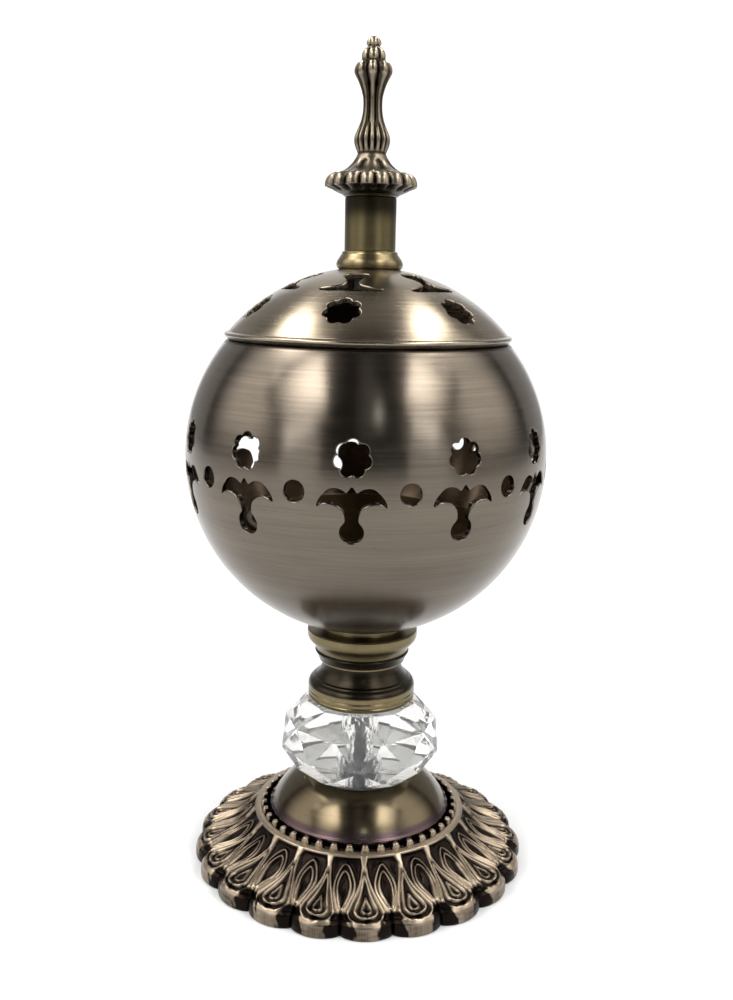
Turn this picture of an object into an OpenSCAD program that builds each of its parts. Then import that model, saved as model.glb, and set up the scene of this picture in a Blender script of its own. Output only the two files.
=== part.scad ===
// Table incense burner: a pierced ball on a crystal neck and a scalloped cast
// foot, with a lift-off pierced lid, a turned handle and a loose charcoal dish.
// Millimetres. +Z is up and the origin is the centre of the face it stands on.

/* [Ball and lid] */
// Outer radius of the ball
ball_r = 50; // [48:0.5:52]
// Wall of the spun bowl
bowl_wall = 1.8; // [1.2:0.1:2.2]
// Wall of the spun lid
lid_wall = 1.6; // [1.2:0.1:2]
// Height of the bowl's rim above the centre of the ball
rim_rise = 31.6; // [30:0.2:33]
// Birds pierced round the bowl
bowl_birds = 11; // [9:1:11]
// Birds pierced round the lid
lid_birds = 6; // [4:1:6]
// Radius of the round hole between two birds
dot_r = 2.7; // [2:0.1:3]

/* [Foot] */
// Outer radius of the lobed foot
foot_r = 48.6; // [47:0.2:50]
// Height of the flat band that carries the teeth
foot_h = 14.7; // [14:0.1:16]
// Lobes round the foot's rim
foot_lobes = 21; // [16:1:28]
// Teeth round the foot's band
foot_teeth = 41; // [30:1:48]

/* [Neck] */
// Height of the dome that stands on the foot
dome_h = 12.2; // [11:0.2:14]
// Height of the crystal bead
crystal_h = 21.6; // [18:0.2:25]
// Radius to the bead's widest corners
crystal_r = 23.8; // [20:0.2:25]
// Facets round the bead
crystal_sides = 10; // [8:1:14]
// Height of the dark waisted spool
spool_h = 8.5; // [7:0.5:11]

/* [Handle] */
// Outer radius of the handle tube
tube_r = 6.9; // [6.6:0.1:8]
// Length of the handle tube
tube_h = 13.9; // [10:0.1:20]
// Height of the cast finial
finial_h = 40.7; // [38:0.5:46]

/* [Charcoal dish] */
// Outer radius of the dish's rim
dish_r = 33.6; // [30:0.2:34.5]
// Depth of the dish from its rim to its seat
dish_depth = 16.4; // [13:0.2:18]

/* [Hidden] */
$fn = 96;

// Fasteners: an M6 rod through the whole stem, an M4 stud through the lid
rod_r = 3;
rod_clear_r = 3.2;
rod_nut_af = 10;
rod_nut_h = 5;
stud_r = 2;
stud_clear_r = 2.2;
stud_nut_af = 7;
stud_nut_h = 3.2;
thread_gap = 0.1;
washer_t = 1.5;
gasket_t = 0.6;

// Heights of the stem, from the table up
deck_z = foot_h - 0.9;
deck_t = 3;
dome_top_z = deck_z + dome_h;
crystal_z = dome_top_z + gasket_t;
crystal_top_z = crystal_z + crystal_h;
spool_ring_z = crystal_top_z + gasket_t;
spool_ring_h = 2.8;
spool_z = spool_ring_z + spool_ring_h;
neck_ring_z = spool_z + spool_h;
neck_ring_h = 3.3;
collar_z = neck_ring_z + neck_ring_h;
collar_h = 6.6;
ball_z = collar_z + collar_h + ball_r;

// The bowl and the lid
rim_z = ball_z + rim_rise;
bowl_in_r = ball_r - bowl_wall;
mouth_r = sqrt(pow(bowl_in_r, 2) - pow(rim_rise, 2));
lid_cz = ball_z + 1.5;
lid_in_r = ball_r - lid_wall;
lid_edge_r = sqrt(pow(ball_r, 2) - pow(rim_rise, 2)) - 0.8;
ring_r = mouth_r - 0.5;
ring_t = 1;
ring_drop = 4;
lid_seat_z = lid_cz + sqrt(pow(ball_r, 2) - pow(8.3, 2));
bird_turn = -3.6;
bird_lat = -7.4;
flower_lat = 8;
dot_lat = -1.7;
lid_turn = -12.3;
lid_bird_lat = 68;
lid_flower_lat = 51.7;

// The handle
collar_top_z = lid_seat_z + 4.85;
tube_top_z = collar_top_z + tube_h;
tube_wall = 1.2;
spigot_h = 3;

// The charcoal dish and the stand that carries it
stand_r = 15.6;
stand_wall = 1.6;
stand_z = ball_z - sqrt(pow(bowl_in_r, 2) - pow(stand_r, 2)) + 0.02;
stand_top_z = ball_z - 34;
stand_vents = 6;
dish_top_z = stand_top_z + dish_depth;

antique_brass = [0.50, 0.44, 0.30];
dark_brass = [0.16, 0.14, 0.12];
dark_nickel = [0.42, 0.39, 0.36];
warm_nickel = [0.60, 0.55, 0.47];
cast_bronze = [0.34, 0.29, 0.22];
zinc = [0.62, 0.63, 0.65];

// Points of an arc round [x, y]
function arc(x, y, r, from, to, steps) =
    [for (i = [0:steps])
        let (a = from + (to - from) * i / steps)
        [x + r * cos(a), y + r * sin(a)]];

// Points of a curve from a to c that leans towards b
function bend(a, b, c, steps) =
    [for (i = [0:steps])
        let (t = i / steps)
        a * pow(1 - t, 2) + b * 2 * t * (1 - t) + c * t * t];

// The same outline mirrored to the left and walked back
function mirrored(pts) = [for (i = [len(pts) - 1:-1:0]) [-pts[i][0], pts[i][1]]];

// A closed outline with lobes: radius r, notches cut in by depth
function lobed(r, depth, lobes, turn, steps) =
    [for (i = [0:lobes * steps - 1])
        let (a = 360 * i / (lobes * steps))
        let (k = abs(cos(180 * i / steps)))
        (r - depth + depth * pow(k, 0.7)) * [cos(a + turn), sin(a + turn)]];

module lathe(pts) rotate_extrude() polygon(pts);

module tube(r_out, r_in, h)
    lathe([[r_in, 0], [r_out, 0], [r_out, h], [r_in, h]]);

module hex_nut(af, bore_r, h)
    difference() {
        cylinder(r = af / 2 / cos(30), h = h, $fn = 6);
        translate([0, 0, -1]) cylinder(r = bore_r, h = h + 2);
    }

// Puts children on a sphere, facing out: azimuth from the front, and latitude
module on_sphere(azimuth, latitude)
    rotate([0, 0, azimuth]) rotate([90 - latitude, 0, 0]) children();

// Straight cutter through the wall of a sphere
module through_wall()
    translate([0, 0, ball_r - 14]) linear_extrude(24) children();

module flower(r) polygon(lobed(r, r * 0.2, 7, 90, 4));

// Bird seen from the front: pointed head, drooping wings and a round tail
module bowl_bird() {
    right = concat(
        [[0, 6.9], [1.3, 4.8]],
        bend([1.9, 5.6], [4.9, 7.2], [6.6, 5.0], 4),
        bend([7.6, 3.8], [8.4, 2.8], [8.5, 1.3], 2),
        bend([7.7, 2.3], [6.2, 3.0], [4.5, 2.5], 3),
        bend([3.2, 2.0], [2.0, 1.4], [1.7, -0.3], 3),
        [[1.45, -2.1]],
        arc(0, -4.75, 2.95, 55, -90, 6));
    polygon(concat(right, mirrored([for (i = [1:len(right) - 2]) right[i]])));
}

// Anchor shape of the lid: round bud above, wide crescent towards the rim
module lid_bird() {
    right = concat(
        [[0, 5.7]],
        bend([2.0, 5.7], [3.3, 5.4], [3.3, 4.0], 3),
        bend([3.1, 2.9], [1.8, 1.6], [1.45, -0.8], 3),
        bend([2.0, -2.4], [5.0, -3.6], [8.5, -3.2], 4),
        bend([8.0, -4.4], [5.4, -5.6], [2.6, -5.6], 3),
        [[0, -5.9]]);
    polygon(concat(right, mirrored([for (i = [1:len(right) - 2]) right[i]])));
}

// ---- foot ----

module foot() color(cast_bronze) {
    groove_z = deck_z - 1.2;
    tooth_r = 27.6;
    tooth_t = 1.4;
    tooth_top = foot_h + 1.4;
    hollow_r = foot_r - 5.6;
    skirt = concat(
        [[rod_clear_r, deck_z], [25.9, deck_z], [26.2, groove_z]],
        [[tooth_r - 0.4, groove_z], [tooth_r, foot_h]],
        [[31, foot_h]],
        bend([31.4, foot_h - 0.4], [35.3, foot_h - 5.4], [foot_r - 5.1, foot_h - 7.9], 6),
        bend([foot_r - 4, 6.6], [foot_r - 0.8, 6], [foot_r - 0.3, 3], 5),
        [[foot_r, 0.8], [foot_r - 0.4, 0]],
        [[hollow_r, 0], [hollow_r, 2.2], [hollow_r - 5, 5.2]],
        [[31, 9.4], [28, deck_z - deck_t], [rod_clear_r, deck_z - deck_t]]);
    notch = 2.3;
    gap_share = 0.52;
    intersection() {
        lathe(skirt);
        translate([0, 0, -1]) linear_extrude(foot_h + 5)
            polygon(lobed(foot_r + 0.1, notch, foot_lobes, -86.5, 8));
    }
    difference() {
        lathe(concat(
            [[tooth_r, groove_z], [tooth_r + tooth_t, groove_z]],
            bend([tooth_r + tooth_t, foot_h], [tooth_r + tooth_t, tooth_top],
                 [tooth_r + tooth_t / 2, tooth_top], 3),
            [[tooth_r + 0.2, tooth_top - 0.3], [tooth_r, foot_h]]));
        for (i = [0:foot_teeth - 1])
            rotate([0, 0, 360 * (i + 0.5) / foot_teeth - 94.7])
                translate([tooth_r - 1, -PI * tooth_r / foot_teeth * gap_share, foot_h])
                    cube([tooth_t + 2, 2 * PI * tooth_r / foot_teeth * gap_share, 5]);
    }
}

module foot_washer() color(zinc)
    translate([0, 0, deck_z - deck_t - washer_t]) tube(8, rod_clear_r, washer_t);

module foot_nut() color(zinc)
    translate([0, 0, deck_z - deck_t - washer_t - rod_nut_h])
        hex_nut(rod_nut_af, rod_r + thread_gap, rod_nut_h);

module base_dome() color(cast_bronze) {
    lip_r = 26.5;
    plate_t = 1.4;
    lathe(concat(
        [[rod_clear_r, dome_top_z], [16.2, dome_top_z]],
        bend([16.9, dome_top_z - 0.2], [22.4, dome_top_z - 3.4],
             [lip_r - 0.5, deck_z + 2.4], 8),
        [[lip_r, deck_z + 2.1], [lip_r, deck_z], [lip_r - 1.4, deck_z]],
        bend([lip_r - 1.9, deck_z + 2.2], [20.9, dome_top_z - 4.1],
             [15.4, dome_top_z - plate_t], 8),
        [[rod_clear_r, dome_top_z - plate_t]]));
}

// ---- crystal and neck ----

module crystal_gasket_lower() color([0.75, 0.75, 0.72])
    translate([0, 0, dome_top_z]) tube(14.5, rod_clear_r, gasket_t);

// One ring of facet corners; half turns it by half a facet
function corner_ring(r, z, half) =
    [for (i = [0:crystal_sides - 1])
        let (a = 360 * (i + half) / crystal_sides - 91)
        [r * cos(a), r * sin(a), z]];

module crystal_bead() color([0.9, 0.93, 0.95, 0.45]) {
    n = crystal_sides;
    rings = [[0.71, 0, 0], [0.90, 0.18, 0.5], [1, 0.39, 0], [0.93, 0.74, 0.5], [0.68, 1, 0]];
    pts = [for (ring = rings)
        each corner_ring(crystal_r * ring[0], crystal_z + crystal_h * ring[1], ring[2])];
    // each strip joins a ring to the next one up, half a facet round
    strip = [for (k = [0:len(rings) - 2], i = [0:n - 1])
        let (j = (i + 1) % n)
        let (up = rings[k][2] == 0)
        let (a = k * n + i, b = k * n + j, c = (k + 1) * n + i, d = (k + 1) * n + j)
        each (up ? [[a, c, b], [b, c, d]] : [[a, d, b], [a, c, d]])];
    caps = [[for (i = [0:n - 1]) i],
            [for (i = [n - 1:-1:0]) (len(rings) - 1) * n + i]];
    difference() {
        polyhedron(points = pts, faces = concat(strip, caps), convexity = 4);
        translate([0, 0, crystal_z - 1]) cylinder(r = rod_clear_r + 0.8, h = crystal_h + 2);
    }
}

module crystal_gasket_upper() color([0.75, 0.75, 0.72])
    translate([0, 0, crystal_top_z]) tube(14, rod_clear_r, gasket_t);

module spool_ring() color(antique_brass)
    translate([0, 0, spool_ring_z]) lathe([
        [rod_clear_r, 0], [14.8, 0], [15.3, 0.5], [15.5, 1.1], [15.3, 1.35],
        [15.5, 1.6], [15.5, 2.4], [15.3, spool_ring_h], [rod_clear_r, spool_ring_h]]);

module neck_spool() color(dark_brass)
    translate([0, 0, spool_z]) lathe(concat(
        [[rod_clear_r, 0], [15.2, 0]],
        bend([15.5, 0.4], [15.6, 2.4], [14.2, 3.0], 4),
        [[13.9, 3.5], [13.2, 3.7]],
        bend([13, 4.2], [11.4, spool_h - 2.4], [11.2, spool_h], 6),
        [[rod_clear_r, spool_h]]));

module neck_ring() color(dark_brass)
    translate([0, 0, neck_ring_z]) lathe(concat(
        [[rod_clear_r, 0], [11.3, 0]],
        bend([11.6, 0.3], [12.2, 1.6], [13.65, neck_ring_h - 0.3], 4),
        [[13.4, neck_ring_h], [rod_clear_r, neck_ring_h]]));

module bowl_collar() color(antique_brass)
    difference() {
        lathe(concat(
            [[rod_clear_r, collar_z], [13.1, collar_z]],
            bend([13.35, collar_z + 0.3], [13.9, collar_z + 1.9],
                 [14.9, collar_z + 2.7], 5),
            bend([14.9, collar_z + 2.7], [15.9, collar_z + 3.6],
                 [15.9, collar_z + 4.9], 6),
            [[15.85, collar_z + 6.1], [15.4, collar_z + 6.5]],
            [[11.6, collar_z + 6.6], [11.3, collar_z + 9.5]],
            [[rod_clear_r, collar_z + 9.5]]));
        translate([0, 0, ball_z]) sphere(r = ball_r + 0.05);
    }

module centre_rod() color(zinc) {
    z0 = deck_z - deck_t - washer_t - rod_nut_h - 1.2;
    z1 = ball_z - bowl_in_r + 9.2;
    translate([0, 0, z0]) cylinder(r = rod_r, h = z1 - z0);
}

// ---- bowl and dish ----

module bowl() color(dark_nickel)
    difference() {
        translate([0, 0, ball_z]) sphere(r = ball_r);
        translate([0, 0, ball_z]) sphere(r = bowl_in_r);
        translate([-60, -60, rim_z]) cube([120, 120, 60]);
        translate([0, 0, ball_z - ball_r - 1]) cylinder(r = rod_clear_r, h = 8);
        translate([0, 0, ball_z])
            for (i = [0:bowl_birds - 1]) {
                azimuth = bird_turn + 360 * i / bowl_birds;
                on_sphere(azimuth, bird_lat) through_wall() bowl_bird();
                on_sphere(azimuth, flower_lat) through_wall() flower(4.6);
                on_sphere(azimuth + 180 / bowl_birds, dot_lat)
                    translate([0, 0, ball_r - 14]) cylinder(r = dot_r, h = 24);
            }
    }

washer_z = ball_z - sqrt(pow(bowl_in_r, 2) - pow(6.5, 2)) + 0.02;

module bowl_washer() color(zinc)
    translate([0, 0, washer_z]) tube(6.5, rod_clear_r, washer_t);

module bowl_nut() color(zinc)
    translate([0, 0, washer_z + washer_t]) hex_nut(rod_nut_af, rod_r + thread_gap, rod_nut_h);

module dish_stand() color(antique_brass)
    difference() {
        translate([0, 0, stand_z]) tube(stand_r, stand_r - stand_wall, stand_top_z - stand_z);
        for (i = [0:stand_vents - 1])
            translate([0, 0, (stand_z + stand_top_z) / 2])
                rotate([0, 90, 360 * i / stand_vents + 15])
                    translate([0, 0, stand_r - 4]) cylinder(r = 2.6, h = 8);
    }

module charcoal_dish() color(antique_brass) {
    spigot_r = stand_r - stand_wall - 0.5;
    floor_t = 1.3;
    translate([0, 0, stand_top_z]) lathe(concat(
        [[0, 0], [spigot_r - 1.2, 0], [spigot_r - 1.2, -2], [spigot_r, -2], [spigot_r, 0]],
        bend([spigot_r + 3, 0], [dish_r - 3, 0.6], [dish_r - 0.7, dish_depth - 1.4], 8),
        [[dish_r, dish_depth - 1], [dish_r, dish_depth - 0.2]],
        [[dish_r - 0.3, dish_depth], [dish_r - 1.7, dish_depth]],
        bend([dish_r - 2, dish_depth - 1.4], [dish_r - 4.4, 2],
             [spigot_r + 2, floor_t], 8),
        [[0, floor_t]]));
}

// ---- lid and handle ----

module lid_dome() color(warm_nickel) {
    edge_z = rim_z;
    corner_z = rim_z + 1.45;
    bead_r = lid_edge_r + 1.25;
    difference() {
        union() {
            difference() {
                translate([0, 0, lid_cz]) sphere(r = ball_r);
                translate([0, 0, lid_cz]) sphere(r = lid_in_r);
                translate([-60, -60, corner_z + 0.25 - 160]) cube([120, 120, 160]);
            }
            lathe([
                [ring_r, edge_z], [lid_edge_r, edge_z], [bead_r, corner_z],
                [bead_r - 0.1, corner_z + 0.5], [bead_r - 1, corner_z + 0.95],
                [ring_r + 0.7, corner_z + 1.5], [ring_r, corner_z + 0.8]]);
        }
        translate([-10, -10, lid_seat_z]) cube([20, 20, 5]);
        translate([0, 0, lid_seat_z - 8]) cylinder(r = stud_clear_r, h = 20);
        translate([0, 0, lid_cz])
            for (i = [0:lid_birds - 1]) {
                azimuth = lid_turn + 360 * i / lid_birds;
                on_sphere(azimuth, lid_bird_lat) through_wall() lid_bird();
                on_sphere(azimuth, lid_flower_lat) through_wall() flower(4.9);
            }
    }
}

// Height of the lid's inner face at radius r
function lid_under(r) = lid_cz + sqrt(pow(lid_in_r, 2) - pow(r, 2));

module lid_locating_ring() color(antique_brass)
    lathe([
        [ring_r - ring_t, rim_z - ring_drop + 0.4], [ring_r - 0.5, rim_z - ring_drop],
        [ring_r, rim_z - ring_drop + 0.5], [ring_r, lid_under(ring_r) - 0.02],
        [ring_r - ring_t, lid_under(ring_r - ring_t) - 0.02]]);

lid_washer_r = 5.5;
lid_washer_t = 1;
lid_washer_z = lid_under(lid_washer_r) - lid_washer_t - 0.02;

module lid_washer() color(zinc)
    translate([0, 0, lid_washer_z]) tube(lid_washer_r, stud_clear_r, lid_washer_t);

module lid_nut() color(zinc)
    translate([0, 0, lid_washer_z - stud_nut_h])
        hex_nut(stud_nut_af, stud_r + thread_gap, stud_nut_h);

module lid_stud() color(zinc) {
    z0 = lid_washer_z - stud_nut_h - 1.5;
    translate([0, 0, z0]) cylinder(r = stud_r, h = tube_top_z + 6 - z0);
}

module lid_collar() color(antique_brass) {
    h = collar_top_z - lid_seat_z;
    seat_r = tube_r - tube_wall - 0.2;
    lathe(concat(
        [[stud_clear_r, lid_seat_z], [8.2, lid_seat_z], [8.8, lid_seat_z + 0.5]],
        bend([9.05, lid_seat_z + 1.2], [9.1, lid_seat_z + 2.1],
             [8.4, lid_seat_z + 3], 4),
        bend([8, lid_seat_z + 3.6], [7.5, lid_seat_z + 4.2],
             [tube_r + 0.6, lid_seat_z + h - 0.2], 3),
        [[tube_r + 0.3, lid_seat_z + h], [seat_r, lid_seat_z + h]],
        [[seat_r, lid_seat_z + h + spigot_h], [stud_clear_r, lid_seat_z + h + spigot_h]]));
}

module handle_tube() color(antique_brass)
    translate([0, 0, collar_top_z]) tube(tube_r, tube_r - tube_wall, tube_h);

module finial() color(antique_brass) {
    h = finial_h;
    spigot_r = tube_r - tube_wall - 0.2;
    flange_z = 3.9;
    neck_z = 11.4;
    bulge_z = 14.9;
    waist_z = 23.7;
    crown_z = 32.3;
    flange_r = 11.7;
    beads = 17;
    profile = concat(
        [[0, 7.5], [stud_r + thread_gap, 7.5], [stud_r + thread_gap, -spigot_h]],
        [[spigot_r, -spigot_h], [spigot_r, 0], [tube_r + 0.1, 0], [tube_r + 0.3, 0.5]],
        [[9.9, 1.9], [11.3, 2.9]],
        bend([flange_r, flange_z], [11.4, 5.1], [9.5, 6], 4),
        bend([7.5, 7], [4.6, 8.4], [3.75, neck_z], 5),
        bend([4.4, 13], [5, bulge_z], [4.5, 16.2], 4),
        bend([3.55, 18.2], [2.5, 20.6], [2.5, waist_z], 5),
        bend([2.55, 25.2], [2.9, 27.6], [4.2, 30.1], 5),
        bend([4.7, 31.2], [5.1, crown_z + 0.3], [4.4, 33.6], 4),
        [[3.3, 34.4]],
        bend([3.35, 35], [3.2, 37], [2.1, 37.7], 4),
        [[1.6, 38]],
        bend([1.9, 38.6], [1.7, h - 0.6], [0, h], 4));
    translate([0, 0, tube_top_z]) intersection() {
        lathe(profile);
        translate([0, 0, -spigot_h - 1]) linear_extrude(h + 10)
            polygon(lobed(flange_r + 0.05, 0.7, beads, -90, 6));
    }
}

foot();
foot_washer();
foot_nut();
base_dome();
crystal_gasket_lower();
crystal_bead();
crystal_gasket_upper();
spool_ring();
neck_spool();
neck_ring();
bowl_collar();
bowl();
bowl_washer();
bowl_nut();
centre_rod();
dish_stand();
charcoal_dish();
lid_dome();
lid_locating_ring();
lid_washer();
lid_nut();
lid_stud();
lid_collar();
handle_tube();
finial();
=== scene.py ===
"""Looks for the incense burner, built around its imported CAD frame.

Lengths are millimetres in the frame's own axes until a mesh is made, where MM
turns them into metres. The studio at the end is in metres, and the camera
looks along +Y.
"""

import math

import bpy
import numpy as np
from mathutils import Euler, Matrix, Vector
from mathutils.geometry import delaunay_2d_cdt


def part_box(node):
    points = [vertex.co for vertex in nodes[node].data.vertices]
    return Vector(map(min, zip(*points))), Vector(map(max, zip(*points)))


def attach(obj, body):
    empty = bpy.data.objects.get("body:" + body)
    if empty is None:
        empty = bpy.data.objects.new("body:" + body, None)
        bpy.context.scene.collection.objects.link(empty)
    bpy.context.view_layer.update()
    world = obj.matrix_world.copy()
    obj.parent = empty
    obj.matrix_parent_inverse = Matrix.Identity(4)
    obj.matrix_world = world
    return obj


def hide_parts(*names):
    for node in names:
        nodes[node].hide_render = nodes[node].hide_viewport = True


MM = 0.001
TAU = 2 * math.pi

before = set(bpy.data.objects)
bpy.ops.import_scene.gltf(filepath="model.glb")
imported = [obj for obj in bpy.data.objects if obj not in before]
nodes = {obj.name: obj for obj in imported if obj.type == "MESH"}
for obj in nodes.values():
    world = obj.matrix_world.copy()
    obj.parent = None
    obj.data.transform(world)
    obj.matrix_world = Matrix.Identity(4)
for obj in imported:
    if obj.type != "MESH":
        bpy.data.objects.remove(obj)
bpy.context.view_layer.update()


def box_mm(node):
    """Lowest and highest corner of a CAD node, in millimetres."""
    low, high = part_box(node)
    return low / MM, high / MM


# ---- sizes read from the frame ----

BOWL_LOW, BOWL_HIGH = box_mm("bowl")
BALL_R = (BOWL_HIGH.x - BOWL_LOW.x) / 2
BALL_Z = BOWL_LOW.z + BALL_R
RIM_Z = BOWL_HIGH.z
LID_LOW, LID_HIGH = box_mm("lid_dome")
LID_BEAD_R = (LID_HIGH.x - LID_LOW.x) / 2
TUBE_TOP = box_mm("handle_tube")[1].z
FINIAL_TOP = box_mm("finial")[1].z
DECK_Z = box_mm("base_dome")[0].z
ROD_LOW, ROD_HIGH = box_mm("centre_rod")
BEAD_LOW, BEAD_HIGH = box_mm("crystal_bead")

# ---- sizes and counts as in the CAD's source; turns are degrees ----

BOWL_WALL = 1.8
LID_WALL = 1.6
LID_Z = BALL_Z + 1.5
FOOT_R = 48.6
BAND_Z = DECK_Z + 0.9
ROD_CLEAR_R = (ROD_HIGH.x - ROD_LOW.x) / 2 + 0.2
STUD_CLEAR_R = 2.2
BOWL_BIRDS = 11
BIRD_TURN = -3.6
LID_BIRDS = 6
LID_TURN = -12.3
LOBES = 21
LOBE_TURN = 3.5
TEETH = 41
TEETH_TURN = -4.7

# ---- how fine the meshes are ----

WELD_GRID = 2e-5
HOLE_STEP = 0.32
WIDEN_STEP = 0.06
WALL_ROW = 0.9
HOLE_MARGIN = 0.5


# ---- curves ----


def unit(vectors):
    """The same directions, all of length 1."""
    return vectors / (np.linalg.norm(vectors, axis=1)[:, None] + 1e-12)


def bend(a, b, c, steps):
    """Points of a curve from a to c that leans towards b."""
    t = np.linspace(0, 1, steps + 1)[:, None]
    a, b, c = (np.array(p, float) for p in (a, b, c))
    return a * (1 - t) ** 2 + 2 * b * t * (1 - t) + c * t**2


def arc(x, y, r, start, end, steps):
    """Points of an arc round (x, y); angles in degrees."""
    t = np.radians(np.linspace(start, end, steps + 1))
    return np.stack([x + r * np.cos(t), y + r * np.sin(t)], 1)


def chain(*parts):
    """One outline out of points and runs of points."""
    return np.vstack([np.atleast_2d(np.array(p, float)) for p in parts])


def walk(points, step, closed=False):
    """The same line with a point about every step."""
    p = np.vstack([points, points[:1]]) if closed else np.array(points, float)
    lengths = np.linalg.norm(np.diff(p, axis=0), axis=1)
    along = np.concatenate([[0], np.cumsum(lengths)])
    count = max(3, int(round(along[-1] / step)))
    at = np.linspace(0, along[-1], count + 1)
    out = np.stack([np.interp(at, along, p[:, k]) for k in range(2)], 1)
    return out[:-1] if closed else out


def relax(values, passes):
    """Rounds the corners of a closed loop of even steps."""
    for _ in range(passes):
        values = 0.5 * values + 0.25 * (np.roll(values, 1, 0) + np.roll(values, -1, 0))
    return values


def fillet(outline, radius, closed=True):
    """Rounds each corner of an outline, by at most radius."""
    p = np.array(outline, float)
    n = len(p)
    out = []
    for i in range(n):
        before, after = p[i - 1] - p[i], p[(i + 1) % n] - p[i]
        back, ahead = np.linalg.norm(before), np.linalg.norm(after)
        cut = min(radius, 0.45 * back, 0.45 * ahead)
        straight = np.dot(before, after) / (back * ahead) < -0.96
        loose_end = not closed and i in (0, n - 1)
        if loose_end or straight or cut < 1e-6:
            out.append(p[i : i + 1])
        else:
            out.append(bend(p[i] + before / back * cut, p[i], p[i] + after / ahead * cut, 4))
    return np.vstack(out)


def mirrored(right):
    """A closed outline from its right half, whose ends lie on the axis."""
    left = right[-2:0:-1] * [-1, 1]
    return np.vstack([right, left])


def anticlockwise(loop):
    """The same loop, turned round if it runs clockwise."""
    x, y = loop.T
    area = np.sum(x * np.roll(y, -1) - np.roll(x, -1) * y)
    return loop if area > 0 else loop[::-1]


def away_from(loop):
    """The direction out of an anticlockwise loop, at each of its points."""
    along = unit(np.roll(loop, -1, 0) - np.roll(loop, 1, 0))
    return np.stack([along[:, 1], -along[:, 0]], 1)


def smoothstep(low, high, x):
    """0 below low, 1 above high, and a smooth rise between them."""
    t = np.clip((x - low) / (high - low), 0, 1)
    return t * t * (3 - 2 * t)


def band(low, high, soft, x):
    """1 between low and high, with soft sides centred on them."""
    return smoothstep(low - soft, low + soft, x) * (1 - smoothstep(high - soft, high + soft, x))


# ---- mesh building ----


def add_values(mesh, name, values):
    """A value for each point of a mesh, which its material can read."""
    attribute = mesh.attributes.new(name, "FLOAT", "POINT")
    attribute.data.foreach_set("value", np.asarray(values, np.float32))


def new_mesh(name, points, faces, material):
    mesh = bpy.data.meshes.new(name)
    mesh.from_pydata(points, [], faces)
    mesh.materials.append(material)
    return mesh


def place(name, data):
    """A new object in the scene."""
    thing = bpy.data.objects.new(name, data)
    bpy.context.scene.collection.objects.link(thing)
    return thing


def make_piece(name, points, faces, body, replaces, material, normals=None,
               relief=None, sharp=None):
    """A mesh piece of the burner, from points in millimetres."""
    mesh = new_mesh(name, (np.asarray(points) * MM).tolist(), faces, material)
    mesh.polygons.foreach_set("use_smooth", [True] * len(mesh.polygons))
    if relief is not None:
        add_values(mesh, "relief", relief)
    if sharp is not None:
        mesh.set_sharp_from_angle(angle=math.radians(sharp))
    if normals is not None:
        mesh.normals_split_custom_set_from_vertices(normals.tolist())
    piece = place(name, mesh)
    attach(piece, body)
    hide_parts(*replaces)
    return piece


def add_bevel(piece, width, sharper_than):
    """Small rounded edges, wherever the faces turn by more than an angle."""
    bevel = piece.modifiers.new("edges", "BEVEL")
    bevel.width = width * MM
    bevel.segments = 3
    bevel.limit_method = "ANGLE"
    bevel.angle_limit = math.radians(sharper_than)
    return bevel


def ring_angles(columns):
    return np.arange(columns) * TAU / columns


def spin(radius, height, angle):
    """Points at a radius and height, turned round the axis from the camera's side."""
    radius, height, angle = np.broadcast_arrays(radius, height, angle)
    return np.stack([radius * np.sin(angle), -radius * np.cos(angle), height], -1)


def weld(points, faces, extras):
    """Joins points that fall together, and drops faces that then collapse."""
    key = np.round(np.asarray(points) / WELD_GRID).astype(np.int64)
    _, first, to = np.unique(key, axis=0, return_index=True, return_inverse=True)
    to = to.ravel()
    kept = []
    for face in faces:
        corners = []
        for v in (int(to[v]) for v in face):
            if not corners or corners[-1] != v:
                corners.append(v)
        if len(corners) > 1 and corners[0] == corners[-1]:
            corners.pop()
        if len(corners) > 2:
            kept.append(corners)
    return np.asarray(points)[first], kept, [np.asarray(e)[first] for e in extras]


def ring_faces(rows, columns, closed_rows, start=0):
    """Quads of a grid whose columns close into a ring."""
    faces = []
    for j in range(rows if closed_rows else rows - 1):
        a, b = start + j * columns, start + ((j + 1) % rows) * columns
        faces += [(a + i, a + (i + 1) % columns, b + (i + 1) % columns, b + i)
                  for i in range(columns)]
    return faces


def outline_turn(outline):
    """How sharply an open outline turns at each point: above 0 on outer corners."""
    padded = np.vstack([outline[:1], outline, outline[-1:]])
    steps = np.diff(padded, axis=0)
    before, after = steps[:-1], steps[1:]
    turn = before[:, 0] * after[:, 1] - before[:, 1] * after[:, 0]
    return turn / (np.linalg.norm(before, axis=1) * np.linalg.norm(after, axis=1) + 1e-9)


def lathe_piece(name, outline, body, replaces, material, tone):
    """A turned piece: a closed outline of (radius, height) run round the axis; tone gives how
    light the metal is at a height, and holds painted shade and painted highlights on some pieces."""
    columns = 256
    line = walk(anticlockwise(outline), 0.25, closed=True)
    points = spin(line[:, :1], line[:, 1:], ring_angles(columns) + TAU / 4).reshape(-1, 3)
    faces = ring_faces(len(line), columns, True)
    return make_piece(name, points, faces, body, replaces, material,
                      relief=np.repeat(tone(line[:, 1]), columns), sharp=40)


# ---- pierced shells ----


def flower_outline(r):
    """Seven round petals."""
    angle = np.linspace(0, TAU, 7 * 24, endpoint=False)
    radius = r * (0.78 + 0.235 * np.abs(np.cos(3.5 * angle)) ** 0.62)
    return np.stack([radius * np.cos(angle + TAU / 4), radius * np.sin(angle + TAU / 4)], 1)


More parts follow.
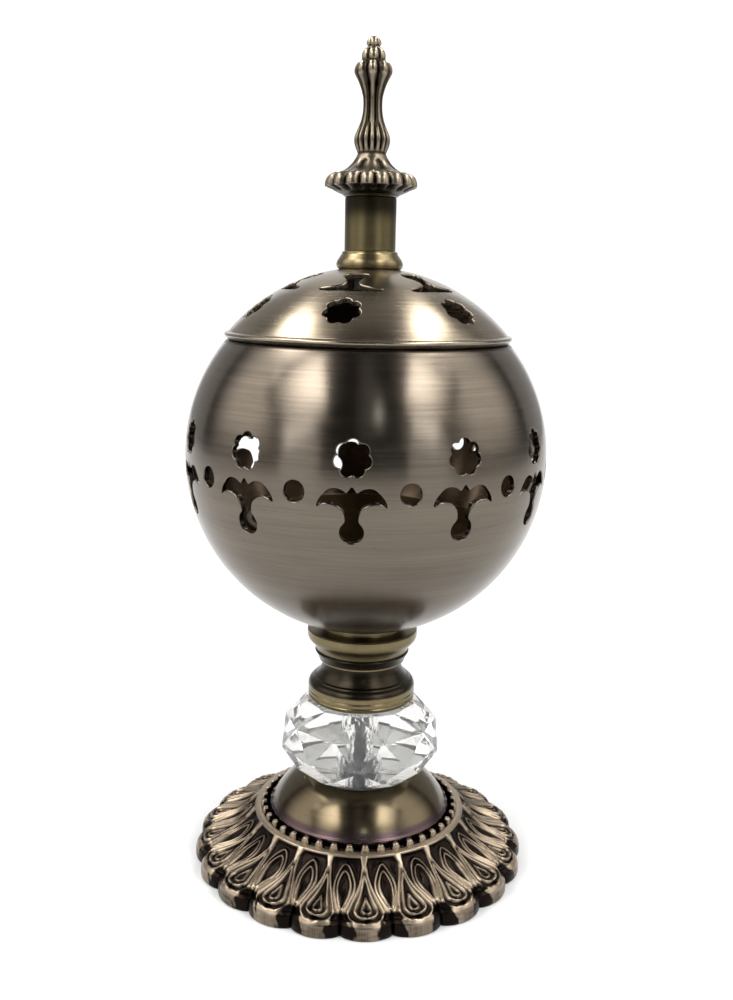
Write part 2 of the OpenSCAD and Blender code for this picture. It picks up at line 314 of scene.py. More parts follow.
def bowl_bird_outline():
    """Pointed head, drooping wings and a round tail."""
    return mirrored(chain(
        [0, 6.9], [1.3, 4.8],
        bend([1.9, 5.6], [4.9, 7.2], [6.6, 5.0], 10),
        bend([7.6, 3.8], [8.4, 2.8], [8.5, 1.3], 5),
        bend([7.7, 2.3], [6.2, 3.0], [4.5, 2.5], 8),
        bend([3.2, 2.0], [2.0, 1.4], [1.7, -0.3], 8),
        [1.45, -2.1],
        arc(0, -4.75, 2.95, 55, -90, 16)))


def lid_bird_outline():
    """Round bud towards the handle, wide crescent towards the rim."""
    return mirrored(chain(
        [0, 5.7],
        bend([2.0, 5.7], [3.3, 5.4], [3.3, 4.0], 8),
        bend([3.1, 2.9], [1.8, 1.6], [1.45, -0.8], 8),
        bend([2.0, -2.4], [5.0, -3.6], [8.5, -3.2], 10),
        bend([8.0, -4.4], [5.4, -5.6], [2.6, -5.6], 8),
        [0, -5.9]))


def dot_outline(r):
    return arc(0, 0, r, 0, 360, 60)[:-1]


class Hole:
    """A hole through a sphere's wall, with rounded edges."""

    OUTER, INNER = 0.38, 0.25

    def __init__(self, outline, azimuth, latitude, corner=2):
        a, b = math.radians(azimuth), math.radians(latitude)
        self.right = np.array([math.cos(a), math.sin(a), 0])
        self.out = spin(math.cos(b), math.sin(b), a)
        self.up = np.cross(self.out, self.right)
        self.loop = relax(walk(anticlockwise(outline), HOLE_STEP, closed=True), corner)

    def widened(self, offsets):
        """The loop moved into the metal by rising offsets, a little at a time and smoothed, so
        that it keeps free of kinks: a list of the loops and of their directions away."""
        p, reached, found = self.loop, 0.0, []
        for offset in offsets:
            steps = int(math.ceil((offset - reached) / WIDEN_STEP - 1e-6))
            for _ in range(steps):
                p = relax(p + away_from(p) * (offset - reached) / steps, 1)
            reached = offset
            found.append((p, away_from(p)))
        return found

    def in_space(self, flat):
        return flat[:, :1] * self.right + flat[:, 1:] * self.up

    def wall(self, radius, thickness):
        """Loops of points and their normals, from the outer face to the inner one."""
        turns = np.linspace(0, TAU / 4, 6)
        outer = self.widened([self.OUTER * (1 - math.cos(t)) for t in turns])[::-1]
        steps = [(flat, self.OUTER * (1 - math.cos(t)), t, 1) for flat, t in zip(outer, turns)]
        middle = (thickness - self.OUTER - self.INNER) / 2 + self.OUTER
        steps.append((outer[-1], middle, TAU / 4, 1))
        turns = np.linspace(0, TAU / 4, 4)
        inner = self.widened([self.INNER * (1 - math.cos(t)) for t in turns])
        steps += [(flat, thickness - self.INNER * (1 - math.sin(t)), TAU / 4 - t, -1)
                  for flat, t in zip(inner, turns)]
        loops = []
        for (flat, away), depth, lean, side in steps:
            reach = np.sqrt((radius - depth) ** 2 - (flat**2).sum(1))
            p = self.in_space(flat) + reach[:, None] * self.out
            normal = unit(p) * side * math.cos(lean) - self.in_space(away) * math.sin(lean)
            loops.append((p, unit(normal)))
        return loops


def equator_plane(azimuth, latitude):
    return np.stack([azimuth * BALL_R, latitude * BALL_R], -1)


def pole_plane(azimuth, latitude):
    reach = (TAU / 4 - latitude) * BALL_R
    return np.stack([reach * np.sin(azimuth), -reach * np.cos(azimuth)], -1)


def inside(points, loop):
    """Which points lie inside a closed loop."""
    x, y = points[:, 0][:, None], points[:, 1][:, None]
    ax, ay = loop[:, 0], loop[:, 1]
    bx, by = np.roll(ax, -1), np.roll(ay, -1)
    crosses = (ay > y) != (by > y)
    slope = np.where(by == ay, 1, by - ay)
    return (crosses & (x < (bx - ax) * (y - ay) / slope + ax)).sum(1) % 2 == 1

def pierced_sector(holes, radius, thickness, start, width, columns, low, high, plane):
    """One repeat of a pierced wall, between two latitudes: points, faces and normals."""
    rows = max(4, int((high - low) * radius / WALL_ROW))
    az = start + width * np.arange(columns + 1) / columns
    lat = low + (high - low) * np.arange(rows + 1) / rows
    grid_az, grid_lat = (g.ravel() for g in np.meshgrid(az, lat))
    edge = (grid_az <= az[0] + 1e-9) | (grid_az >= az[-1] - 1e-9)
    edge |= (grid_lat <= lat[0] + 1e-9) | (grid_lat >= lat[-1] - 1e-9)
    flat = plane(grid_az, grid_lat)
    keep = np.ones(len(flat), bool)
    walls = [h.wall(radius, thickness) for h in holes]
    loops = []
    for wall in walls:
        p = wall[0][0] / radius
        loop = plane(np.arctan2(p[:, 0], -p[:, 1]), np.arcsin(p[:, 2]))
        gap = np.min(np.linalg.norm(flat[:, None] - loop[None], axis=2), axis=1)
        keep &= ~((gap < HOLE_MARGIN) | inside(flat, loop))
        loops.append(loop)
    keep |= edge
    order = np.concatenate([np.flatnonzero(keep & edge), np.flatnonzero(keep & ~edge)])
    size, fixed = len(order), int(edge.sum())
    az_kept, lat_kept = grid_az[order], grid_lat[order]
    face_out = spin(np.cos(lat_kept), np.sin(lat_kept), az_kept)
    points = [face_out * radius, face_out * (radius - thickness)]
    normals = [face_out, -face_out]

    # the grid's points, then each hole's loop, with the border and the loops as fixed edges
    rim = np.argsort(sector_walk(az_kept[:fixed], lat_kept[:fixed], az, lat))
    edges = [(int(a), int(b)) for a, b in zip(rim, np.roll(rim, -1))]
    firsts = size + np.cumsum([0] + [len(loop) for loop in loops])
    for first, loop in zip(firsts, loops):
        n = len(loop)
        edges += [(int(first) + i, int(first) + (i + 1) % n) for i in range(n)]
    flat = np.vstack([flat[order], *loops])
    made = delaunay_2d_cdt([Vector(p) for p in flat], edges, [], 0, 1e-7)
    if len(made[0]) != len(flat):
        raise RuntimeError("the pierced wall's outlines cross")
    source = [o[0] for o in made[3]]
    triangles = np.array([[source[v] for v in f] for f in made[2]])
    corners = flat[triangles]
    area = np.cross(corners[:, 1] - corners[:, 0], corners[:, 2] - corners[:, 0])
    metal = (np.abs(area) > 1e-9) & inside(corners.mean(1), flat[rim])
    for loop in loops:
        metal &= ~inside(corners.mean(1), loop)
    triangles = np.where((area < 0)[:, None], triangles[:, ::-1], triangles)[metal]

    # every flat index has a point on the outer face and one on the inner face
    out_of = np.arange(len(flat))
    in_of = out_of + size
    base, faces = 2 * size, []
    for first, wall in zip(firsts, walls):
        n = len(wall[0][0])
        for p, normal in wall:
            points.append(p)
            normals.append(normal)
        out_of[first : first + n] = base + np.arange(n)
        in_of[first : first + n] = base + (len(wall) - 1) * n + np.arange(n)
        faces += ring_faces(len(wall), n, False, base)
        base += len(wall) * n
    faces += out_of[triangles].tolist()
    faces += in_of[triangles][:, ::-1].tolist()
    return np.vstack(points), faces, np.vstack(normals)


def sector_walk(azimuth, latitude, az, lat):
    """Place of each edge point on a walk round the sector."""
    s = np.zeros(len(azimuth))
    u = (azimuth - az[0]) / (az[-1] - az[0])
    v = (latitude - lat[0]) / (lat[-1] - lat[0])
    low, high = v < 1e-9, v > 1 - 1e-9
    right, left = u > 1 - 1e-9, u < 1e-9
    s[left] = 4 - v[left]
    s[high] = 3 - u[high]
    s[right] = 1 + v[right]
    s[low] = u[low]
    return s

def turned_shell(outline, azimuths):
    """Rings of points along an open outline of (radius, height), with normals to its right."""
    along = unit(np.gradient(outline, axis=0))
    points = spin(outline[:, :1], outline[:, 1:], azimuths)
    normals = spin(along[:, 1:], -along[:, :1], azimuths)
    faces = ring_faces(len(outline), len(azimuths), False)
    return points.reshape(-1, 3), faces, normals.reshape(-1, 3)


def pierced_piece(name, sector_holes, repeats, thickness, start, columns, low, high, plane,
                  outlines, centre_z, seam_z, body, node, material):
    """A pierced spherical shell: repeated sectors, with turned outlines above and below. Its
    tone is dark inside, and carries painted shade down the hole walls and a painted shadow in the seam
    between the lid and the bowl."""
    width = TAU / repeats
    p, f, n = pierced_sector(sector_holes, BALL_R, thickness, start, width, columns,
                             low, high, plane)
    parts = []
    for k in range(repeats):
        c, s = math.cos(k * width), math.sin(k * width)
        turn = np.array([[c, s, 0], [-s, c, 0], [0, 0, 1]])
        parts.append((p @ turn, f, n @ turn))
    azimuths = start + width * np.arange(columns * repeats) / columns
    parts += [turned_shell(outline, azimuths) for outline in outlines]
    faces, base = [], 0
    for p, f, n in parts:
        faces += [tuple(v + base for v in q) for q in f]
        base += len(p)
    points, faces, (normals,) = weld(np.vstack([p for p, f, n in parts]), faces,
                                     [np.vstack([n for p, f, n in parts])])
    outward = (points * normals).sum(1) / np.linalg.norm(points, axis=1)
    height = points[:, 2] + centre_z
    # painted shadow within a millimetre of the seam, and painted shade darkening the hole walls
    # towards the inside
    seam = np.clip((np.abs(height - seam_z) - 0.4) / 0.6, 0, 1)
    tone = smoothstep(-0.75, 0.3, outward) * (0.1 + 0.9 * seam)
    lined = smoothstep(0.5, 0.9, -outward)
    return make_piece(name, points + [0, 0, centre_z], faces, body, [node], material,
                      normals=normals, relief=tone - lined)


def latitude_up(height, radius):
    """Latitude in degrees on a sphere, at a height over its middle."""
    return math.degrees(math.asin(height / radius))


def latitude_out(reach, radius):
    """Latitude in degrees on a sphere's upper half, at a distance from the axis."""
    return math.degrees(math.acos(reach / radius))


def meridian(radius, from_deg, to_deg, steps):
    """Points of (radius, height) along a sphere, between two latitudes."""
    return arc(0, 0, radius, from_deg, to_deg, steps)


def bowl_piece(material):
    """The ball's lower part: birds, flowers and dots between a rim and a plain underside."""
    period = 360 / BOWL_BIRDS
    low, high = -19.5, 16.5
    holes = [
        Hole(bowl_bird_outline(), BIRD_TURN, -7.4),
        Hole(flower_outline(4.6), BIRD_TURN, 8, corner=1),
        Hole(dot_outline(2.7), BIRD_TURN - period / 2, -1.7),
    ]
    inner_r = BALL_R - BOWL_WALL
    rise = RIM_Z - BALL_Z
    soft = 0.35
    outer_edge = math.sqrt(BALL_R**2 - rise**2)
    inner_edge = math.sqrt(inner_r**2 - rise**2)
    rim = chain(meridian(BALL_R, high, latitude_up(rise - soft, BALL_R), 22),
                bend([outer_edge, rise - 0.1], [outer_edge, rise], [outer_edge - soft, rise], 4),
                bend([inner_edge + 0.3, rise], [inner_edge, rise], [inner_edge + 0.1, rise - 0.2], 4),
                meridian(inner_r, latitude_up(rise - soft, inner_r), high, 16))
    under = chain(meridian(inner_r, low, -latitude_out(ROD_CLEAR_R, inner_r), 30),
                  meridian(BALL_R, -latitude_out(ROD_CLEAR_R, BALL_R), low, 44))
    start = math.radians(BIRD_TURN - 0.64 * period)
    return pierced_piece("bowl_shell", holes, BOWL_BIRDS, BOWL_WALL, start, 40,
                         math.radians(low), math.radians(high), equator_plane,
                         [rim, under], BALL_Z, RIM_Z + 0.1, "burner", "bowl",
                         material)


def lid_piece(material):
    """The ball's cap: buds and flowers between a beaded rim and the handle's seat."""
    low, high = 41, 80
    holes = [
        Hole(lid_bird_outline(), LID_TURN, 68),
        Hole(flower_outline(4.9), LID_TURN, 51.7, corner=1),
    ]
    inner_r = BALL_R - LID_WALL
    edge = RIM_Z - LID_Z
    corner = edge + 1.45
    bead = LID_BEAD_R
    ring_r = box_mm("lid_locating_ring")[1].x
    rim = chain(meridian(inner_r, low, latitude_up(corner + 1.3, inner_r), 8),
                fillet([[ring_r, corner + 0.8], [ring_r, edge], [bead - 1.25, edge],
                        [bead, corner], [bead - 0.12, corner + 0.5]], 0.25, closed=False),
                bend([bead - 0.5, corner + 0.75], [bead - 1.0, corner + 0.8],
                     [bead - 1.25, corner + 1.0], 3),
                meridian(BALL_R, latitude_up(corner + 1.1, BALL_R), low, 10))
    flat_r, seat = 8.3, LID_HIGH.z - LID_Z
    crown = chain(meridian(BALL_R, high, latitude_out(flat_r, BALL_R), 6),
                  [flat_r - 0.3, seat], [STUD_CLEAR_R, seat],
                  meridian(inner_r, latitude_out(STUD_CLEAR_R, inner_r), high, 10))
    start = math.radians(LID_TURN - 180 / LID_BIRDS)
    return pierced_piece("lid_shell", holes, LID_BIRDS, LID_WALL, start, 60,
                         math.radians(low), math.radians(high), pole_plane,
                         [rim, crown], LID_Z, RIM_Z + 0.5, "lid", "lid_dome",
                         material)


# ---- carved foot ----


def ridge_distance(x, s, line):
    """Distance from points to a polyline."""
    best = np.full(x.shape, 1e9)
    for a, b in zip(line[:-1], line[1:]):
        d = b - a
        t = ((x - a[0]) * d[0] + (s - a[1]) * d[1]) / max(d @ d, 1e-12)
        t = np.clip(t, 0, 1)
        best = np.minimum(best, np.hypot(x - a[0] - t * d[0], s - a[1] - t * d[1]))
    return best


def smooth_line(points, steps=8):
    """A rounded line through points given as (share of a lobe, radius)."""
    p = np.array(points, float)
    p = np.vstack([2 * p[0] - p[1], p, 2 * p[-1] - p[-2]])
    out = []
    for a, b, c, d in zip(p[:-3], p[1:-2], p[2:-1], p[3:]):
        for t in np.arange(steps) / steps:
            out.append(0.5 * (2 * b + (c - a) * t + (2 * a - 5 * b + 4 * c - d) * t**2
                              + (3 * b - a - 3 * c + d) * t**3))
    out.append(p[-2])
    return np.array(out)


BAND_END = 31.2
RECESS = 1.2
# each ridge's height, half-width and points, as (share of a lobe from its axis, radius)
RIDGES = {
    "lancet_outer": (0.85, 0.5, [(0.5, 32.5), (0.42, 32.9), (0.32, 34.2), (0.25, 36.4), (0.275, 38.8),
                                 (0.35, 41.2), (0.42, 43.6), (0.468, 45.8)]),
    "lancet_inner": (0.85, 0.5, [(0.5, 33.8), (0.42, 34.5), (0.355, 36.0), (0.34, 37.4),
                                 (0.37, 39.4), (0.43, 41.8), (0.482, 44.2)]),
    "drop_outer": (0.85, 0.5, [(0.055, 32.6), (0.075, 34.5), (0.13, 36.6), (0.2, 38.8),
                               (0.275, 41.2), (0.335, 43.6), (0.352, 45.3), (0.31, 46.7),
                               (0.22, 47.5)]),
    "drop_inner": (0.85, 0.5, [(0.0, 34.8), (0.03, 35.6), (0.06, 36.8), (0.105, 38.8),
                               (0.165, 41.2), (0.215, 43.3), (0.21, 44.9), (0.15, 46.0),
                               (0.0, 46.6)]),
    "teardrop": (0.55, 0.4, [(0.0, 40.0), (0.03, 41.2), (0.075, 42.8), (0.085, 43.8),
                             (0.05, 44.7), (0.0, 44.9)]),
}


def foot_profile():
    """Radius and height down the outside of the foot, from the band's inner edge."""
    r = FOOT_R
    return chain(
        [28.1, BAND_Z - 0.9], [28.9, BAND_Z - 0.15], [29.3, BAND_Z], [30.2, BAND_Z - 0.08],
        [31, BAND_Z - 0.3],
        bend([31.4, BAND_Z - 0.6], [35.3, BAND_Z - 5.4], [r - 5.1, BAND_Z - 7.9], 16),
        bend([r - 4, 6.6], [r - 1.2, 6.0], [r - 0.25, 3.5], 10),
        [r, 2.2], [r, 0.8], [r - 0.15, 0.25], [r - 0.5, 0])


def carving(share, radius, s_of):
    """Height of the carving in millimetres over a half lobe; share runs from 0 at the lobe's
    axis to 0.5 at the notch. 0 is the level of the band."""
    x, s = share * TAU * radius / LOBES, s_of(radius)
    ridges = np.zeros(x.shape)
    for tall, wide, points in RIDGES.values():
        line = smooth_line(points)
        flat = np.stack([line[:, 0] * TAU * line[:, 1] / LOBES, s_of(line[:, 1])], 1)
        crest = tall * np.exp(-((ridge_distance(x, s, flat) / wide) ** 2))
        ridges = (ridges**4 + crest**4) ** 0.25
    # the panels under the band are deepest, the channels lower down shallower
    floor = -RECESS + 0.3 * smoothstep(36, 42, radius)
    height = floor + ridges
    top = 1 - smoothstep(BAND_END - 0.35, BAND_END + 0.75, radius)
    rib_half = 0.95 - 0.45 * smoothstep(BAND_END, 33.6, radius)
    rib = (1 - smoothstep(rib_half - 0.25, rib_half + 0.5, x)) * (1 - smoothstep(33.4, 35.4, radius))
    corner = np.exp(-((np.maximum(radius - BAND_END, 0) + x * 0.55) / 1.1) ** 2)
    height = np.maximum(height, -RECESS + RECESS * np.maximum(np.maximum(top, rib), corner))
    lip = smoothstep(47.0, 47.7, radius)
    height = height * (1 - lip) - 0.05 * lip
    pocket = np.exp(-((x / 0.8) ** 2)) * np.exp(-(((radius - 47.0) / 0.55) ** 2))
    return height - 0.9 * pocket


def ripple(angle, down, random, count, around, along):
    """A smooth uneven pattern over the foot, roughly between -1 and 1."""
    out = np.zeros((len(down), len(angle)))
    for _ in range(count):
        k, m = random.integers(*around), random.uniform(*along)
        out += np.sin(k * angle[None] + m * down[:, None] + random.uniform(0, TAU))
    return out / math.sqrt(count)


def hand_cut(height, angle, down):
    """The carving as a well-used mould leaves it: lines that wander, swell and fade."""
    random = np.random.default_rng(5)
    rows, columns = height.shape
    sideways = 1.1 * ripple(angle, down, random, 9, (5, 38), (-0.5, 0.5))
    slide = 0.9 * ripple(angle, down, random, 9, (5, 44), (-0.5, 0.5))
    carved = smoothstep(31.5, 33.0, down)[:, None] * (1 - smoothstep(46.8, 47.5, down))[:, None]
    j = np.arange(columns)[None] + sideways * carved
    i = np.clip(np.arange(rows)[:, None] + slide * carved, 0, rows - 1.001)
    i0, j0 = np.floor(i).astype(int), np.floor(j).astype(int)
    u, v = i - i0, j - j0
    upper, lower = (height[row, j0 % columns] * (1 - v) + height[row, (j0 + 1) % columns] * v
                    for row in (i0, i0 + 1))
    moved = upper * (1 - u) + lower * u
    swell = 1 + 0.07 * ripple(angle, down, random, 12, (10, 90), (-1.5, 1.5)) * carved
    pitted = 0.012 * ripple(angle, down, random, 24, (120, 420), (-8, 8)) * carved
    return moved * np.clip(swell, 0.7, 1.2) + pitted


def scratches(columns, rows):
    """Uneven vertical rubbing round the rim, between 0 and 1."""
    random = np.random.default_rng(11)
    fine = random.random(columns)
    broad, patch = (np.interp(np.arange(columns), np.arange(0, columns + 1, gap),
                              random.random(columns // gap + 1)) for gap in (9, 42))
    line = 0.15 * fine + 0.30 * broad + 0.55 * patch
    sway = 0.25 * np.sin(np.arange(rows)[:, None] * 0.5 + patch[None] * 9)
    return np.clip(line[None] + sway * (broad[None] - 0.5), 0, 1)


def foot_surface(angle):
    """Rings of points down the foot's carved outside, with a tone for each point."""
    fine = walk(foot_profile(), 0.13)
    arc_len = np.concatenate([[0], np.cumsum(np.linalg.norm(np.diff(fine, axis=0), axis=1))])
    grows = slice(0, int(np.argmax(fine[:, 0] > FOOT_R - 0.26)))

    def s_of(radius):
        return np.interp(radius, fine[grows, 0], arc_len[grows])

    along = unit(np.gradient(fine, axis=0))
    hand = 0.012 * np.sin(3 * angle + 1) + 0.010 * np.sin(8 * angle + 2.2)
    phase = (angle - math.radians(LOBE_TURN)) * LOBES / TAU + hand
    share = np.abs(phase - np.round(phase))
    steps = np.linspace(0, 0.5, 140)
    r, z = fine[:, :1], fine[:, 1:]
    face = 1 - smoothstep(3.6, 4.6, z)
    level = carving(steps[None], r, s_of) * (1 - face) * (r > 29.2)
    height = hand_cut(np.array([np.interp(share, steps, row) for row in level]), angle, fine[:, 0])
    scallop = smoothstep(43.0, 47.6, r)
    notch = 1 - np.abs(np.cos(math.pi * share)) ** 0.55
    radius = r - along[:, 1:] * height - 2.6 * notch[None] * scallop
    high = z + along[:, :1] * height - 0.9 * notch[None] * scallop * (1 - face)
    high[-1] = 0

    # the tone: bright crests and dark hollows from the carving's height, a painted highlight along the
    # rim's top edge, dark patches in the rim's notches, and painted shade round the band's inner edge
    tone = np.clip(1.0 + height / RECESS * 1.05 + 0.10 * smoothstep(34, 39, r), 0, 1)
    # painted highlight along the top edge of the rim's lobes
    crest = np.exp(-(((z - 4.4) / 0.8) ** 2)) * (1 - notch[None])
    random = np.random.default_rng(21)
    dark = random.uniform(0.7, 1.1, LOBES)[np.floor(phase).astype(int) % LOBES]
    uneven = 0.05 * ripple(angle, arc_len, random, 12, (25, 170), (-1.6, 1.6))
    pocket = smoothstep(0.20, 0.40, share[None] + uneven) * dark[None]
    tone = tone * (1 - face) + (0.68 - pocket + 0.5 * crest) * face
    tone *= 1 - 0.85 * np.minimum(pocket, 1) * smoothstep(44.6, 46.8, r)
    # painted shade on the band's inner edge, in the gaps between the teeth
    tone *= 0.08 + 0.92 * smoothstep(28.75, 29.1, r)
    tone += face * (0.5 - 0.4 * pocket) * (scratches(len(angle), len(fine)) - 0.5)
    return spin(radius, high, angle), np.clip(tone, 0, 1)


def foot_piece(material):
    """The cast foot, with its lobes, carving and ring of teeth."""
    angle = ring_angles(LOBES * 66)
    shown, tone = foot_surface(angle)
    hollow_r = FOOT_R - 5.6
    under = chain([hollow_r, 0], [hollow_r, 2.2], [hollow_r - 5, 5.2], [31, 9.4],
                  [28, DECK_Z - 3], [ROD_CLEAR_R, DECK_Z - 3], [ROD_CLEAR_R, DECK_Z],
                  [26.6, DECK_Z], [26.8, DECK_Z - 1.2], [27.2, DECK_Z - 1.2], [27.6, BAND_Z - 0.3])
    under = walk(fillet(under, 0.6, closed=False), 1.0)
    plain = spin(under[:, :1], under[:, 1:], angle)
    grid = np.concatenate([shown, plain])
    tone = np.concatenate([tone.ravel(), np.full(plain[..., 0].size, 0.1)])
    faces = [f[::-1] for f in ring_faces(len(grid), len(angle), True)]
    points, faces, tone = add_teeth(grid.reshape(-1, 3), faces, tone)
    return make_piece("foot_casting", points, faces, "burner", ["foot"],
                      material, relief=tone, sharp=60)


def add_teeth(points, faces, tone):
    """The ring of small upright teeth on the band's inner edge."""
    tooth_r, low, tall = 28.35, BAND_Z - 1.6, 3.0
    wide, deep = 1.42, 0.9
    rings, around = 12, 20
    a = np.arange(around) * TAU / around
    square = (np.abs(np.cos(a)) ** 4 + np.abs(np.sin(a)) ** 4) ** -0.25
    local = []
    for t in (TAU / 4) * (1 - (1 - np.linspace(0, 1, rings)) ** 1.7):
        size = math.cos(t) ** 0.24 if t < TAU / 4 - 1e-6 else 0.0
        taper = 1 - 0.42 * math.sin(t) ** 2
        local.append(np.stack([wide * taper * size * square * np.cos(a),
                               deep * size * square * np.sin(a),
                               np.full(around, low + tall * math.sin(t))], 1))
    local = np.concatenate(local)
    height = (local[:, 2] - low) / tall
    # painted light: each tooth is lighter on its outer side and top, with painted shade on its inner
    # side and base
    painted_lit_side = smoothstep(-0.15, 0.5, local[:, 1] / deep) * smoothstep(0.3, 0.5, height)
    bright = 0.97 * np.maximum(painted_lit_side, smoothstep(0.8, 0.95, height))
    all_points, all_faces, all_tone = [points], list(faces), [tone]
    base = len(points)
    for k in range(TEETH):
        w = math.radians(TEETH_TURN) + TAU * k / TEETH
        out = np.array([math.sin(w), -math.cos(w)])
        side = np.array([math.cos(w), math.sin(w)])
        xy = local[:, :1] * side + (tooth_r + local[:, 1:2] - 0.15 * height[:, None] ** 2) * out
        all_points.append(np.concatenate([xy, local[:, 2:]], 1))
        all_tone.append(bright)
        all_faces += ring_faces(rings, around, False, base)
        all_faces.append(tuple(base + i for i in range(around))[::-1])
        base += len(local)
    points, faces, (tone,) = weld(np.vstack(all_points), all_faces, [np.concatenate(all_tone)])
    return points, faces, tone


# ---- finial ----


def valleys(angle, count, power):
    """1 in each valley between count lobes, 0 on their crests."""
    return 1 - np.abs(np.cos(angle * count / 2)) ** power


def finial_piece(material):
    """The cast finial: beaded flange, ribbed body, fluted crown and a small bud."""
    tall = FINIAL_TOP - TUBE_TOP
    outline = chain(
        bend([5.5, 0.02], [6.9, 0.0], [7.15, 0.35], 4),
        bend([7.6, 0.8], [9.4, 1.5], [10.4, 2.1], 8),
        bend([12.4, 2.9], [12.5, 5.6], [10.2, 6.3], 14),
        bend([9.4, 6.2], [5.2, 7.6], [3.75, 11.4], 14),
        bend([4.4, 12.9], [5.1, 14.9], [4.5, 16.2], 10),
        bend([3.6, 18.2], [2.5, 20.6], [2.5, 23.7], 12),
        bend([2.55, 25.2], [2.9, 27.6], [4.2, 30.1], 12),
        bend([4.85, 31.2], [5.25, 32.6], [4.5, 33.6], 8),
        bend([4.2, 34.1], [3.7, 34.2], [3.2, 34.4], 4),
        bend([3.35, 35.0], [3.5, 36.6], [2.3, 37.5], 8),
        bend([1.9, 37.8], [1.6, 37.9], [1.55, 38.05], 3),
        bend([2.0, 38.7], [1.9, tall - 0.9], [0.9, tall - 0.25], 6),
        [0.02, tall])
    line = walk(outline, 0.12)
    columns = 17 * 32
    angle = np.arange(columns) * TAU / columns
    angle = ring_angles(columns)
    r, z = line[:, :1], line[:, 1:]
    beads = valleys(angle + 0.1, 17, 0.55)
    flutes = valleys(angle + 0.05, 8, 0.7)
    # each cut's pattern, its depth as a share of the radius, and its heights and softness
    cuts = [
        (beads, 0.15, (1.7, 6.2, 0.4)),
        (valleys(angle, 8, 1.0), 0.12, (6.8, 9.6, 0.6)),
        (valleys(angle, 16, 0.8), 0.20, (12.2, 18.6, 1.0)),
        (flutes, 0.30, (18.6, 29.0, 1.6)),
        (flutes, 0.27, (28.0, 34.4, 0.8)),
        (valleys(angle, 6, 0.7), 0.20, (34.7, 37.6, 0.3)),
        (valleys(angle, 5, 0.9), 0.14, (38.2, 40.0, 0.3)),
    ]
    cut = sum(depth * pattern * band(*span, z) for pattern, depth, span in cuts)
    # each crown lobe ends in a round shoulder of its own
    droop = 0.5 * flutes * band(33.0, 34.8, 0.4, z) + 0.6 * beads * band(5.4, 6.6, 0.3, z)
    points = spin(r * (1 - cut), z - droop + TUBE_TOP, angle).reshape(-1, 3)
    turn = relax(outline_turn(line), 10)
    relief = 0.78 + 5.0 * np.clip(turn[:, None], -0.1, 0.06) - cut * 7.5
    # painted shade on the flange's underside
    relief = relief - 0.5 * (1 - smoothstep(2.2, 3.6, z)) + 0.25 * band(34.7, 40.5, 0.3, z)
    faces = ring_faces(len(line), columns, False)
    faces.append(tuple(range(columns))[::-1])
    return make_piece("finial_casting", points, faces, "lid", ["finial"],
                      material, relief=np.clip(relief, 0, 1).ravel(), sharp=70)


# ---- neck ----


def neck_spool_piece(material):
    """The waisted spool: dark above, lighter on the bead's lower side."""
    low, high = box_mm("neck_spool")
    z, top = low.z, high.z
    outline = chain(
        [ROD_CLEAR_R, z], [15.3, z],
        bend([15.5, z + 0.1], [15.75, z + 2.5], [14.1, z + 3.2], 12),
        [13.8, z + 3.7], [13.3, z + 3.8],
        bend([13.0, z + 4.2], [11.4, top - 2.4], [11.2, top], 12),
        [ROD_CLEAR_R, top])
    return lathe_piece("neck_spool_turned", outline, "burner", ["neck_spool"],
                       material, lambda height: 1 - 0.8 * smoothstep(z + 1.0, z + 1.8, height))


def neck_ring_piece(material):
    """The thin disc under the collar: dark, with a painted highlight along its lower edge."""
    low, high = box_mm("neck_ring")
    z, top = low.z, high.z
    outline = chain(
        [ROD_CLEAR_R, z], [11.2, z], [12.0, z], [12.4, z + 0.2], [12.45, z + 0.6],
        bend([12.5, z + 0.8], [12.9, z + 1.7], [13.65, top - 0.35], 8),
        [13.5, top], [ROD_CLEAR_R, top])
    # the tone paints a highlight along the disc's lower edge
    return lathe_piece("neck_ring_turned", fillet(outline, 0.12), "burner", ["neck_ring"],
                       material,
                       lambda height: 0.08 + 1.6 * (1 - smoothstep(z + 0.45, z + 0.7, height)))


def base_dome_piece(material):
    """The spun dome on the foot, darkest along its lower edge."""
    low, high = box_mm("base_dome")
    z, top, lip = low.z, high.z, high.x
    outline = chain(
        [ROD_CLEAR_R, top], [16.2, top],
        bend([16.9, top - 0.2], [22.4, top - 3.4], [lip - 0.5, z + 2.4], 24),
        [lip, z + 2.1], [lip, z], [lip - 1.4, z],
        bend([lip - 1.9, z + 2.2], [20.9, top - 4.1], [15.4, top - 1.4], 24),
        [ROD_CLEAR_R, top - 1.4])
    return lathe_piece("base_dome_spun", fillet(outline, 0.3), "burner", ["base_dome"],
                       material,
                       lambda height: 0.1 + 0.9 * smoothstep(z + 3.4, z + 4.6, height))


def handle_tube_piece(material):
    """The plain tube under the finial, with a painted shadow, darkest where the flange overhangs it.
    """
    low, high = box_mm("handle_tube")
    r, bore, top = high.x, high.x - 0.8, high.z
    outline = fillet([[bore, low.z], [r, low.z], [r, top], [bore, top]], 0.12)
    # the tone paints the flange's shadow down the top of the tube
    return lathe_piece("handle_tube_drawn", outline, "lid", ["handle_tube"],
                       material, lambda height: 1 - 0.95 * smoothstep(top - 8.5, top - 1.0, height))


# ---- crystal ----


CRYSTAL_SIDES = 10
CRYSTAL_R = 23.8
CRYSTAL_TURN = math.radians(-1)
# each ring of corners: radius and height as shares, and its turn in facets
CRYSTAL_RINGS = [(0.71, 0.0, 0), (0.90, 0.18, 0.5), (1.0, 0.39, 0), (0.93, 0.74, 0.5), (0.68, 1.0, 0)]


